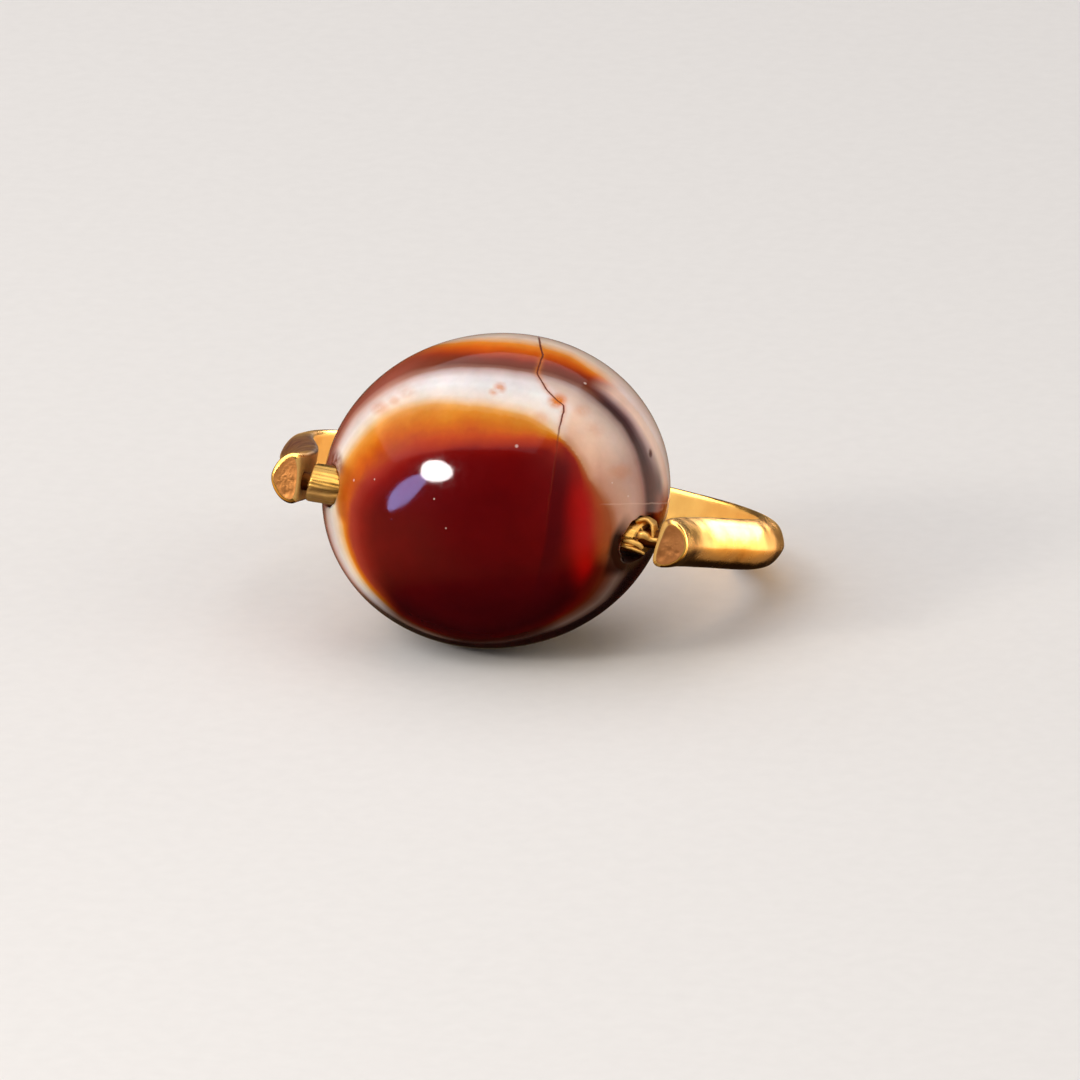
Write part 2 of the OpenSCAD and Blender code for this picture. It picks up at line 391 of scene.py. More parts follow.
# Painted shade: the top of the left arm and the right arm's corners are painted brown.
top_painted_shade = 1.5 * bump_at(all_rings * [1, 1, 0.5], (-9.4, 4.6, 0.4), 6.5) * np.clip(2.4 * up + 0.8, 0, 1)
top_painted_shade = np.minimum(top_painted_shade, 1) * (1 - satin)
corner_painted_shade = 0.9 * on_corner * (on_cap == 0) * np.clip(1.1 - (back - 3.0) / 6.0, 0, 1) * (across > 0)
face_film = 0.5 * (on_cap > 0) * (across > 0)
film_and_shade = np.maximum.reduce([left_film, right_film, top_painted_shade, corner_painted_shade, face_film])
mark(hoop, "satin", satin, [0, 0])
mark(hoop, "film_and_shade", film_and_shade, [0, 0])
print("points on the flat:", int(satin.sum()), "and under the film:", int((film_and_shade > 0.3).sum()))
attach(hoop, "ring")
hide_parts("hoop")

# %% [markdown]
# ## The rolled strip
# Thin gold strip was rolled round the pin like paper. Rolled a little more than once, it leaves a
# step along its front where the free edge lies on the turn below. A tube would miss that step, so
# the outline is a spiral with a thickness, and it is swept along the pin.

# %% Outline of the roll
STRIP = 0.15                         # thickness of the strip, mm
ROLL_R = 0.735                       # radius inside the bead
FREE_EDGE = -103                     # where the free edge lies, degrees from the top to the rear
TURNS, UNDER_FROM, UNDER_TO = 1.25, 338, 352    # the strip slips under its edge between two degrees


def roll_outline(along):
    """Points (up, back) round the wall of the roll: along its outside, then back along its inside."""
    turn = np.linspace(0, 360 * TURNS, 150)
    angle = np.radians(FREE_EDGE + 4 * math.sin(1.1 * along) - 0.7 * along + turn)
    under = np.clip((turn - UNDER_FROM) / (UNDER_TO - UNDER_FROM), 0, 1)
    outer = ROLL_R - 0.02 * turn / 360 - (STRIP + 0.04) * smooth(turn, UNDER_FROM, UNDER_TO)
    calm = 1 - 0.8 * min(1, max(0, (along - 5.8) / 0.6))
    outer += calm * (0.010 * np.sin(13 * angle) + 0.007 * np.sin(29 * angle + 1.5 * along)) * (1 - under)
    outer -= 0.03 * np.clip(1 - turn / 7, 0, 1) ** 2
    inner = outer - (STRIP - 0.02) * np.clip(turn / 5, 0.7, 1)
    spiral = np.c_[np.cos(angle), np.sin(angle)]
    return np.vstack([outer[:, None] * spiral, (inner[:, None] * spiral)[::-1]])


print("points round the roll:", len(roll_outline(0)))

# %% [markdown]
# On the left the roll opens out a little where it leaves the bead, and its end is cut slanting.
# On the right it is torn, and reaches furthest on top and at the rear.

# %% Sweep the roll along the pin
ROLL_LEFT, ROLL_RIGHT = -END_GAP / 2 + 0.46, 7.2
FLARE = 0.14                         # share by which the roll opens outside the bead
CRUMPLE = 0.012                      # mm, and twice that at the right end
roll_places = np.linspace(ROLL_LEFT, ROLL_RIGHT, 190)
roll_rings = []
for s in roll_places:
    out = roll_outline(s)
    lean = (0.12 * out[:, 0] + 0.03 * np.sin(5 * out[:, 1])) * math.exp(-(s - ROLL_LEFT) / 0.4)
    lean += (0.16 * out[:, 0] + 0.46 * out[:, 1]) * math.exp(-(ROLL_RIGHT - s) / 0.3)
    wide = 1 + FLARE * smooth(-s, 6.0, 6.5)
    worn = 1 - 0.05 * max(0, 1 - (s - ROLL_LEFT) / 0.08) ** 2
    roll_rings.append(on_pin(np.c_[out * wide * worn, s + lean]))
roll_rings = np.array(roll_rings)
crumple = CRUMPLE * (1 + np.clip((roll_places - 6.3) / 0.6, 0, 1))[:, None, None]
roll_rings += crumple * uneven(roll_rings * [0.35, 1, 1], 0.22, 2.0)[..., None] * [0, 1, 1]
print("rings along the roll:", len(roll_rings))

# %% [markdown]
# At the right end the strip was pushed together. Its top wall arches over to the flat and leaves a
# dark opening under it, the inner turn curls into a bright nub that reaches for the flat, and the
# free edge hangs in two folds below. Each is the same flat strip swept along a short path, which
# is how the metal itself ran. A cloth simulation would crumple it too, but not in these places.

# %% Folds at the right end
# Paths run through (along the pin, up, towards the back, thickness, width), all in millimetres.
ARCH = [(6.80, 0.66, 0.06, 0.17, 1.04), (6.96, 0.74, 0.04, 0.19, 1.04), (7.14, 0.78, 0.02, 0.20, 1.00),
        (7.30, 0.76, 0.00, 0.20, 0.96), (7.45, 0.65, -0.02, 0.20, 0.90), (7.55, 0.48, -0.04, 0.20, 0.84),
        (7.60, 0.28, -0.06, 0.20, 0.76), (7.61, 0.06, -0.06, 0.20, 0.70)]
NUB = [(7.00, 0.04, -0.22, 0.28, 0.34), (7.10, 0.10, -0.38, 0.32, 0.40), (7.20, 0.14, -0.44, 0.34, 0.42),
       (7.32, 0.12, -0.44, 0.30, 0.38), (7.46, 0.04, -0.38, 0.22, 0.30), (7.62, 0.00, -0.34, 0.18, 0.28),
       (7.86, 0.00, -0.32, 0.20, 0.34)]
UPPER_FOLD = [(6.42, -0.20, -0.58, 0.18, 0.16), (6.66, -0.20, -0.62, 0.22, 0.17),
              (6.92, -0.23, -0.63, 0.22, 0.18), (7.14, -0.30, -0.60, 0.20, 0.18),
              (7.30, -0.44, -0.52, 0.14, 0.16)]
LOWER_FOLD = [(6.36, -0.46, -0.50, 0.10, 0.18), (6.60, -0.47, -0.54, 0.13, 0.22),
              (6.90, -0.50, -0.54, 0.13, 0.24), (7.16, -0.57, -0.48, 0.15, 0.24),
              (7.38, -0.67, -0.40, 0.13, 0.22)]


def swept(path, steps=14, around=20):
    """Rings of a flat strip with soft edges, swept along a smooth path through the given places."""
    path = np.array(path)
    path = np.vstack([2 * path[0] - path[1], path, 2 * path[-1] - path[-2]])
    angle = np.linspace(0, 2 * np.pi, around, endpoint=False)
    across = np.sign(np.cos(angle)) * np.abs(np.cos(angle)) ** 0.55
    through = np.sign(np.sin(angle)) * np.abs(np.sin(angle)) ** 0.8
    made, total = [], (len(path) - 3) * steps
    for n in range(total + 1):
        i = min(n // steps, len(path) - 4)
        t = n / steps - i
        a, b, c, d = path[i:i + 4]
        bend, twist = 2 * a - 5 * b + 4 * c - d, 3 * b - a - 3 * c + d
        at = 0.5 * (2 * b + (c - a) * t + bend * t * t + twist * t ** 3)
        way = 0.5 * ((c - a) + 2 * bend * t + 3 * twist * t * t)
        heading = np.array([way[1], way[2], way[0]])
        heading /= np.linalg.norm(heading)
        side = np.array([0, 1.0, 0]) - heading * heading[1]
        side /= np.linalg.norm(side)
        face = np.cross(heading, side)
        round_end = math.sqrt(max(0.02, 1 - max(0, 1 - min(n, total - n) / 3) ** 2))
        ring = across[:, None] * side * at[4] / 2 + through[:, None] * face * at[3] / 2
        made.append(on_pin(np.array([at[1], at[2], at[0]]) + round_end * ring))
    made = np.array(made)
    return made + 0.03 * uneven(made, 0.25, 6.0)[..., None] * [0.5, 0.6, 1.0]


folds = [(swept(path), "capped") for path in (ARCH, NUB, UPPER_FOLD, LOWER_FOLD)]
roll = skin("rolled_strip", (roll_rings, "capped"), *folds)

# %% [markdown]
# The inside of the roll and its lower part on the left are painted brown, as shade. The folds stand proud,
# and rubbing has left them satin; their satin mark also paints them a little lighter, as painted light.

# %% Marks on the strip's points
half_way = roll_rings.shape[1] // 2
up, _, along = np.moveaxis((roll_rings - PIN_SPOT) @ PIN_AXES, -1, 0)
# Painted shade: brown inside the roll and low on its left end.
roll_painted_shade = 0.75 * np.clip((0.05 - up) / 0.3, 0, 1) * np.clip(-along - 5.5, 0, 1)
roll_painted_shade[:, half_way:] = 0.95
fold_points = np.ones(sum(rings.shape[0] * rings.shape[1] + 2 for rings, _ in folds))
mark(roll, "film_and_shade", roll_painted_shade, [0.9, 0.9], 0 * fold_points)
# The folds' satin mark also paints them lighter, as painted light.
mark(roll, "satin", 0 * roll_painted_shade, [0, 0], 0.7 * fold_points)
print("brown points of the strip:", int((roll_painted_shade > 0.3).sum()))
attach(roll, "ring")
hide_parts("sleeve")

# %% [markdown]
# ## The bead
# The bead is a hand-ground oval of agate, drilled off its middle. A sphere could be scaled and cut
# with a boolean. Rings round the drilled hole are cleaner: they run from the rim of one worn mouth
# over the stone to the rim of the other, and back through the hole, where the skin closes.

# %% Shape of the bead
BEAD_HALF = np.array([15.5, 12.8, 13.5]) / 2
BEAD_MIDDLE = np.array([-0.1, 2.67, 0.55])
BEAD_TURN = np.radians([-10, -17.7, -16])
bead_axes = np.array((Matrix.Rotation(BEAD_TURN[2], 3, "Z") @ Matrix.Rotation(BEAD_TURN[1], 3, "Y")
                      @ Matrix.Rotation(BEAD_TURN[0], 3, "X")))
to_ball = bead_axes.T / BEAD_HALF[:, None]   # turns level directions into those of a ball of radius 1


def reach(origin, directions):
    """How far the bead's surface is from origin along each direction, in millimetres."""
    start = (origin - BEAD_MIDDLE) @ to_ball.T
    going = directions @ to_ball.T
    a = (going * going).sum(-1)
    b = (going * start).sum(-1)
    c = (start * start).sum(-1) - 1
    return (-b + np.sqrt(np.maximum(b * b - a * c, 0))) / a


up_axis, back_axis, pin_axis = PIN_AXES.T
BEAD_AROUND, BEAD_LONG = 288, 220
clock = np.linspace(0, 2 * np.pi, BEAD_AROUND, endpoint=False)
spokes = np.cos(clock)[:, None] * up_axis + np.sin(clock)[:, None] * back_axis
BORE_R = 0.8
# 1 for the spoke that points low to the front, 0 for those that point the other way.
low_front = np.clip(-0.7 * np.cos(clock) - 0.7 * np.sin(clock), 0, 1)
print("spokes round the bead:", len(spokes))

# %% [markdown]
# The mouths are funnels where the drill chipped the stone as it came through. The rim is where
# the funnel meets the bead, found by a few rounds of stepping towards it.

# %% Mouths
def rim_of(side, mouth_place, mouth_half, mouth_depth, low_chip, seed):
    """Radius and place along the pin of a chipped rim, at each spoke. It is chipped least on top.
    low_chip says how much more, or less, it is chipped low in front."""
    open_by = 1 - 0.62 * np.clip(np.cos(clock), 0, 1) ** 2 + low_chip * low_front ** 2
    slope = (mouth_half - BORE_R) / mouth_depth * open_by
    round_rim = np.c_[2 * np.cos(clock), 2 * np.sin(clock), np.full(BEAD_AROUND, seed)]
    chip = 0.10 * uneven(round_rim, 0.8)
    radius = np.full(BEAD_AROUND, mouth_half)
    for _ in range(6):
        place = reach(PIN_SPOT + radius[:, None] * spokes, np.tile(side * pin_axis, (BEAD_AROUND, 1)))
        radius = BORE_R + np.maximum(place - (mouth_place - mouth_depth), 0.1) * slope + chip - 0.05
    return radius, side * place


right_rim, right_place = rim_of(1, 7.35, 1.45, 1.2, 1.15, 3.0)
left_rim, left_place = rim_of(-1, 6.5, 1.05, 0.6, -0.5, 9.0)
print("right mouth, mm across:", round(2 * float(right_rim.mean()), 2))


def funnel(rim_radius, rim_place, floor_place, seed):
    """Rings from a rim down to the plain bore."""
    made = []
    for f in np.linspace(0, 1, 9)[1:]:
        radius = rim_radius + (BORE_R - rim_radius) * f
        place = rim_place + (floor_place - rim_place) * f ** 0.8
        ring = PIN_SPOT + radius[:, None] * spokes + place[:, None] * pin_axis
        rough = 0.05 * math.sin(math.pi * f) * uneven(ring, 0.3, seed)
        made.append(ring + rough[:, None] * spokes)
    return made


# %% Surface and bore
start = np.arctan2(right_rim, right_place)
stop = np.arctan2(left_rim, left_place)
bead_rings = []
for k in range(BEAD_LONG + 1):
    angle = start + (stop - start) * k / BEAD_LONG
    going = np.cos(angle)[:, None] * pin_axis + np.sin(angle)[:, None] * spokes
    bead_rings.append(PIN_SPOT + reach(PIN_SPOT, going)[:, None] * going)
left_funnel = funnel(left_rim, left_place, -5.9, 4.0)
right_funnel = funnel(right_rim, right_place, 6.15, 8.0)
bore = [PIN_SPOT + BORE_R * spokes + s * pin_axis for s in np.linspace(-5.8, 6.0, 20)]
all_bead = np.array(bead_rings + left_funnel + bore + right_funnel[::-1])
outer_rings = len(bead_rings)
print("rings of the bead:", outer_rings, "outside and", len(all_bead) - outer_rings, "inside")

# %% [markdown]
# Hand grinding leaves the stone slightly lumpy, and a polished stone shows it in its reflections.
# A few chips sit where the real one has them: above the right mouth, low on the left, and high on
# the left shoulder.

# %% Lumps and chips
# across, back, up from the bead's middle in the frame's directions, radius, depth
CHIPS = [
    (-5.0, -3.9, -4.6, 0.35, 0.10),
    (-6.6, -0.6, 3.3, 0.22, 0.09),
    (7.22, -1.18, 2.62, 0.2, 0.06),
]
in_bead = (all_bead - BEAD_MIDDLE) @ LYING_TURN.T
outwards = ((all_bead - BEAD_MIDDLE) @ to_ball.T) @ to_ball
outwards /= np.linalg.norm(outwards, axis=-1, keepdims=True)
sink = 0.012 * (uneven(all_bead, 3.5, 7.0) + 1) + 0.003 * (uneven(all_bead, 0.9, 1.0) + 1)
for *spot, radius, depth in CHIPS:
    sink += depth * bump_at(in_bead, spot, radius)
sink[outer_rings:] = 0
all_bead -= outwards * sink[..., None]
bead = skin("agate_stone", (all_bead, "joined"))
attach(bead, "bead")
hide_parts("agate_bead")

# %% [markdown]
# ## Layers of the stone
# Agate grows in layers, and this bead was ground so that its layers lie square to the front, with
# the drilled hole running along them. Each layer's edge is therefore a plane that waves a little.
# A point's depth along the layers' facing, and its clock angle round it, say which layer it is in.

# %% Depth and clock angle in the stone
FACING_AZIMUTH, FACING_ELEVATION = math.radians(1.2), math.radians(2.5)
facing = np.array([math.sin(FACING_AZIMUTH) * math.cos(FACING_ELEVATION),
                   -math.cos(FACING_AZIMUTH) * math.cos(FACING_ELEVATION),
                   math.sin(FACING_ELEVATION)])
to_right = np.array([math.cos(FACING_AZIMUTH), math.sin(FACING_AZIMUTH), 0])
to_top = np.cross(facing, to_right)
depth = in_bead @ facing
hour = np.degrees(np.arctan2(in_bead @ to_top, in_bead @ to_right)) % 360
print("layers run from", round(float(depth.min()), 2), "to", round(float(depth.max()), 2), "mm")

# %% Where the layers end
# Degrees round the clock, then the ends of the red core, the orange, the white, the mauve and the
# stripe, in mm in front of the bead's middle.
LAYER_ENDS = [
    (0, 5.05, 4.08, 2.60, 0.25, 0.20),
    (7, 5.12, 4.18, 2.58, 0.20, 0.15),
    (15, 5.12, 4.42, 2.50, 0.30, 0.25),
    (23, 4.84, 4.60, 2.32, 0.45, 0.40),
    (33, 4.62, 4.50, 2.16, 0.55, 0.50),
    (44, 4.54, 4.40, 2.16, 0.75, 0.40),
    (52, 4.84, 4.30, 2.12, 1.16, 0.50),
    (62, 5.10, 4.20, 2.26, 1.30, 0.15),
    (75, 5.22, 4.20, 2.46, 1.68, 0.25),
    (90, 5.22, 4.10, 2.42, 1.60, 0.25),
    (105, 5.20, 3.80, 2.20, 1.05, -0.15),
    (120, 5.05, 3.55, 2.02, 0.20, -1.15),
    (135, 4.95, 3.42, 1.90, 0.05, -1.20),
    (150, 4.85, 3.40, 1.80, 0.00, -1.20),
    (165, 4.58, 3.27, 2.10, 0.30, -0.90),
    (176, 4.42, 3.50, 2.20, 0.50, -0.60),
    (187, 4.45, 3.97, 2.40, 0.80, -0.20),
    (205, 4.42, 4.10, 2.80, 1.20, 0.20),
    (225, 4.48, 4.12, 3.32, 1.50, 0.70),
    (245, 4.28, 4.04, 3.50, 1.60, 0.90),
    (275, 4.12, 3.92, 3.48, 1.70, 1.00),
    (300, 4.26, 4.02, 3.35, 1.75, 1.20),
    (313, 4.25, 4.00, 3.00, 1.80, 1.30),
    (326, 4.40, 3.80, 2.55, 1.75, 1.35),
    (337, 4.80, 3.85, 2.62, 1.70, 1.40),
    (348, 4.95, 4.05, 2.62, 1.60, 1.45),
]
ends = np.array(LAYER_ENDS)
round_clock = np.vstack([ends[-1] - [360, 0, 0, 0, 0, 0], ends, ends[0] + [360, 0, 0, 0, 0, 0]])
edge_at = [np.interp(hour, round_clock[:, 0], round_clock[:, c]) for c in range(1, 6)]
print("the core's edge, mm in front:", ends[:, 1].min(), "to", ends[:, 1].max())

# %% [markdown]
# The edges are turned into one running number, the layer count: 0 in the heart of the core, 1 at
# its edge, 2 at the end of the orange, and so on to the back of the bead. One colour ramp over
# that number then paints every layer, however its edges wave.

# %% Layer count of each point
CORE_HEART = 6.6
BACK_ENDS = (-1.7, -2.35, -2.9, -3.6, -6.6)    # layers that only the back of the bead shows
steps = [np.full(depth.shape, CORE_HEART)] + edge_at + [np.full(depth.shape, e) for e in BACK_ENDS]
LAYERS = len(steps) - 1
count = np.zeros(depth.shape)
for k in range(LAYERS):
    share = (steps[k] - depth) / np.maximum(steps[k] - steps[k + 1], 0.02)
    count = np.where(depth <= steps[k], k + np.clip(share, 0, 1), count)
mark(bead, "layer", count / LAYERS)
print("layers:", LAYERS)

# %% [markdown]
# A crack runs down from the top, kinks, and fades inside the red core. It is a sheet seen edge on
# from the front, so it is drawn there: how far across it lies at each height.

# %% The crack
VIEW_AZIMUTH, VIEW_ELEVATION = math.radians(15.96), math.radians(19.72)
view_right = np.array([math.cos(VIEW_AZIMUTH), math.sin(VIEW_AZIMUTH), 0])
view_up = np.array([-math.sin(VIEW_AZIMUTH) * math.sin(VIEW_ELEVATION),
                    math.cos(VIEW_AZIMUTH) * math.sin(VIEW_ELEVATION), math.cos(VIEW_ELEVATION)])
# height, across, both in mm from the bead's middle as seen from the front
CRACK = [(-6.5, 1.0), (-4.65, 1.43), (-2.1, 2.06), (-0.42, 2.28), (1.28, 2.57), (2.12, 2.70), (2.55, 2.78),
         (3.18, 2.95), (3.50, 3.00), (3.73, 2.70), (4.16, 2.28), (4.88, 1.89), (5.3, 2.0), (5.72, 2.15),
         (6.6, 1.95)]
crack = np.array(CRACK)
across = in_bead @ view_right
height = in_bead @ view_up
from_crack = across - np.interp(height, crack[:, 0], crack[:, 1])
in_front = np.clip((depth + 2.5) / 1.5, 0, 1)
mark(bead, "crack", from_crack)
fade = (0.25 + 0.75 * np.clip((height - 1.6) / 1.2, 0, 1)) * np.clip((height + 2.0) / 2.5, 0, 1)
mark(bead, "crack_strength", fade * in_front)
print("points on the crack:", int((np.abs(from_crack * in_front) < 0.05).sum()))

# %% [markdown]
# One ramp alone would paint every side alike. The real layers change on their way round: they are greyer
# beyond the crack. Each such region is a mark with soft borders, and the finish mixes a second ramp or a
# tint in there. The same marks also paint light and shade: a pale haze of reflected light at the core's edge
# on the left shoulder, and layers painted darker underneath, as shade. Borders are given in degrees round
# the clock, in layers for the count, and in millimetres for the rest.

# %% Sides of the stone
def within(value, a, b, c, d):
    """0 outside a to d, 1 from b to c, with smooth slopes between."""
    return smooth(value, a, b) * (1 - smooth(value, c, d))


round_right = (hour + 90) % 360      # clock angle without a jump at the right, which is at 90
# Beyond the crack the core, the orange and the white look different. The layers behind them
# change only further round to the right.
inner_layers = 1 - smooth(count, 2.85, 3.1)
beyond_crack = smooth(from_crack, -0.1, 0.5) * smooth(height, -5.6, -4.2)
on_right = within(round_right, 62, 74, 130, 142)
mark(bead, "right_side", inner_layers * beyond_crack + (1 - inner_layers) * on_right)
# The left shoulder's ramp paints a pale haze of reflected light at the core's edge.
mark(bead, "left_side_with_haze", within(hour, 102, 140, 212, 226))
# Painted shade: the layers underneath are darker, and darkest low down.
mark(bead, "painted_shade_underside", within(hour, 208, 236, 342, 354) * within(count, 0.45, 0.85, 8.3, 9.3))
mark(bead, "painted_shade_very_low", 0.8 * within(hour, 246, 268, 297, 313) * within(count, 0.8, 1.3, 5.5, 7.5))
behind_white = smooth(count, 2.9, 3.2) * (1 - 0.9 * smooth(count, 3.5, 3.85))
mark(bead, "low_right", behind_white * within(round_right, 62, 74, 98, 114))
# Painted shade darkens the core low down and behind the crack, and a painted glow, as of light shining
# through, brightens it near its right edge.
behind_crack = within(from_crack, -0.05, 0.12, 0.45, 0.95) * smooth(depth, 4.5, 5.1)
mark(bead, "crack_shadow", 0.55 * behind_crack * within(height, -6.0, -3.0, 1.6, 2.4))
mark(bead, "core_shade", 0.7 * (1 - smooth(count, 0.8, 1.1)) * (1 - smooth(height, -5.2, -2.2)))
glow = np.exp(-((across - 3.7) / 0.55) ** 2) * within(height, -4.6, -3.0, -0.8, 1.2)
mark(bead, "red_glow", glow * smooth(depth, 4.3, 4.8))
mark(bead, "soft_edge", within(count, 0.9, 1.25, 1.5, 1.95))
print("points beyond the crack:", int((beyond_crack > 0.5).sum()))

# %% Round the two mouths
# The right mouth's funnel and bore are painted dark, as shade, and so is the stone just outside its rim and
# below it.
ring_number = np.arange(len(all_bead))[:, None]
mouth_shade = np.clip(1.4 * low_front, 0, 1) * (1 - smooth(ring_number, 4, 8))
shade_below_mouth = within(hour, 337, 342, 353, 358) * within(count, 1.75, 2.0, 5.5, 6.3)
mouth_shade = np.maximum(mouth_shade, 0.9 * shade_below_mouth)
mouth_shade[outer_rings:] = 0.8
mark(bead, "mouth_shade", mouth_shade)
# The left mouth's upper lip is ground off at a slant and stained.
left_lip = np.clip(2.2 * np.cos(clock) - 1.0, 0, 1) * smooth(ring_number, BEAD_LONG - 9, BEAD_LONG - 3)
left_lip[outer_rings:] = 0
mark(bead, "left_lip", left_lip)
# Just above the right mouth and beside the left one the stone is stained the colour of rust. The white layer
# is also painted browner on its way down to the right mouth, as shade.
right_rust = within(round_right, 80, 86, 89, 99) * within(count, 3.2, 3.45, 4.6, 5.4)
left_rust = 0.6 * within(hour, 158, 166, 182, 187) * within(count, 1.1, 1.6, 2.0, 2.25)
painted_shade_browned = 0.42 * smooth(across, 3.9, 4.5) * within(height, -3.2, -1.6, 0.2, 2.6) * (depth > 0)
painted_shade_browned *= within(count, 1.0, 1.6, 2.9, 3.1)
mark(bead, "rust_and_shade", np.maximum.reduce([right_rust, left_rust, painted_shade_browned]))
print("points shaded by the mouths:", int((mouth_shade > 0.5).sum()))

# %% [markdown]
# Iron has left orange stains in the white, and a few small marks of use show: pale specks, a scratch and a
# nick. The bright specks around the key highlight are painted glints of polish pits. Each is charted once,
# at its place as seen from the front.

# %% Stains and specks
# across and height as seen from the front, radius, strength
STAINS = [(0.30, 4.32, 0.36, 0.7), (0.03, 4.15, 0.26, 0.55), (-4.80, 3.60, 0.5, 0.45),
          (3.76, 3.27, 0.42, 0.3), (4.27, 2.46, 0.55, 0.2), (2.72, 3.70, 0.52, 1.0),
          (5.33, 0.65, 0.6, 0.25), (-3.66, 4.24, 0.5, 0.25), (-2.4, 3.4, 0.6, 0.25),
          (2.0, 3.0, 0.5, 0.25), (-4.2, 3.9, 0.35, 0.4)]
# Rust has crept along the upper part of the crack.
stain = 0.6 * np.exp(-(from_crack / 0.14) ** 2) * smooth(height, 2.0, 3.4)
for x, z, radius, strength in STAINS:
    away = np.hypot(across - x, (height - z) * 1.3) / radius
    stain = np.maximum(stain, strength * np.clip(1.5 * (1 - away), 0, 1))
mark(bead, "stain", stain * (depth > 0))
mark(bead, "seen_height", height)
mark(bead, "scratched", 0.3 * smooth(across, 4.3, 5.0) * (depth > -1))

# across and height as seen from the front, radius in mm
# Pale specks; those around the key highlight are painted glints of polish pits.
SPECKS_AND_GLINTS = [(3.91, 4.42, 0.09), (-2.58, -0.33, 0.05), (-1.90, -0.79, 0.05), (-2.11, -1.55, 0.05),
          (0.94, 1.79, 0.09), (4.9, 0.2, 0.05), (5.6, -0.4, 0.06), (-5.08, 0.61, 0.05), (-6.0, 0.58, 0.07)]


def seen_at(x, z):
    """The bead's point, in the frame's metres, that the front view shows at this place."""
    away = np.hypot(across - x, height - z) + 9.0 * (depth < 0)
    return lying(all_bead.reshape(-1, 3)[np.argmin(away)])[0]


print("stained points:", int((stain > 0.2).sum()))

# %% [markdown]
# ## Finishes
# Colours are chosen as on a screen, in hex, and the renderer needs them linear. One function
# turns them. One more adds a node with its settings and links, so that a material reads as a list.
# Inputs in a list go to the sockets in order: a Map Range takes the value, the two ends of the
# range it comes from and the two of the range it goes to. A Mix of colours has its share in socket
# 0 and the colours in sockets 6 and 7, so those are given by number.

# %% Helpers for materials
def linear(code):
    """An sRGB hex colour as linear RGBA."""
    parts = [int(code[i:i + 2], 16) / 255 for i in (1, 3, 5)]
    return [p / 12.92 if p <= 0.04045 else ((p + 0.055) / 1.055) ** 2.4 for p in parts] + [1.0]


def feed(tree, made, inputs):
    """Gives a node's sockets a plain value, a hex colour, a socket, or a node, whose first live
    output is meant. inputs is a dict by name or number, or a list in the order of the sockets."""
    for name, value in inputs.items() if isinstance(inputs, dict) else enumerate(inputs):
        if isinstance(value, bpy.types.Node):
            value = next(socket for socket in value.outputs if socket.enabled)
        if isinstance(value, bpy.types.NodeSocket):
            tree.links.new(value, made.inputs[name])
        else:
            made.inputs[name].default_value = linear(value) if isinstance(value, str) else value


def node(tree, kind, inputs=(), stops=(), **settings):
    """Adds a node. kind is its type without the ShaderNode in front, settings are its own, and
    stops are a ramp's, as (place, hex colour)."""
    made = tree.nodes.new("ShaderNode" + kind)
    for name, value in settings.items():
        setattr(made, name, value)
    if stops:
        ramp = made.color_ramp.elements
        ramp.remove(ramp[-1])
        ramp[0].position, ramp[0].color = stops[0][0], linear(stops[0][1])
        for spot, code in stops[1:]:
            ramp.new(spot).color = linear(code)
    feed(tree, made, inputs)
    return made


def new_material(name):
    """An empty material with its shader and output, and the tree they are in."""
    material = bpy.data.materials.new(name)
    material.use_nodes = True
    tree = material.node_tree
    tree.nodes.clear()
    shader = node(tree, "BsdfPrincipled")
    node(tree, "OutputMaterial", {"Surface": shader})
    return material, tree, shader


# %% [markdown]
# ### Agate
# Agate is chalcedony, a quartz too fine-grained to see. It takes a glassy polish with an IOR of 1.54, and
# light enters it and scatters, most in red. The red core is the deepest, the white layers are the cloudiest.
# Four ramps share one set of places: the top of the bead; its left shoulder, where the core's edge is
# painted paler with a haze of reflected light; the right side beyond the crack; and the underside, whose
# layers are painted darker, as shade.

# %% Agate: clouds, and layers that wander
agate, tree, shader = new_material("polished banded agate")
place = node(tree, "TexCoord").outputs["Object"]


def read(name):
    """The socket that carries a mark of the mesh's points."""
    return node(tree, "Attribute", attribute_name=name).outputs["Fac"]


# Size in mm, detail and roughness of the cloud that each unevenness of the stone follows.
CLOUDS = {"wander": (0.9, 4, 0.55), "drift": (1.3, 4, 0.6), "streaks": (0.3, 3, 0.5),
          "stains": (0.35, 3, 0.5), "jag": (0.5, 5, 0.5), "mottle": (1.6, 5, 0.6), "haze": (0.25, 6, 0.7)}
cloud = {}
for name, (size, detail, harsh) in CLOUDS.items():
    cloud[name] = node(tree, "TexNoise", {"Vector": place, "Scale": 1 / (size * MM), "Detail": detail,
                                          "Roughness": harsh})
# Every layer's edge wanders by about a tenth of a millimetre. Between the core and the white the
# layers also run into each other, in clouds over a millimetre wide.
waved = read("layer")
for name, where, by in (("wander", 1.0, 0.006), ("drift", read("soft_edge"), 0.06)):
    off = node(tree, "Math", [cloud[name], 0.5], operation="SUBTRACT")
    off = node(tree, "Math", [off, where], operation="MULTIPLY")
    waved = node(tree, "Math", [off, by, waved], operation="MULTIPLY_ADD")
print("clouds in the agate:", len(cloud))

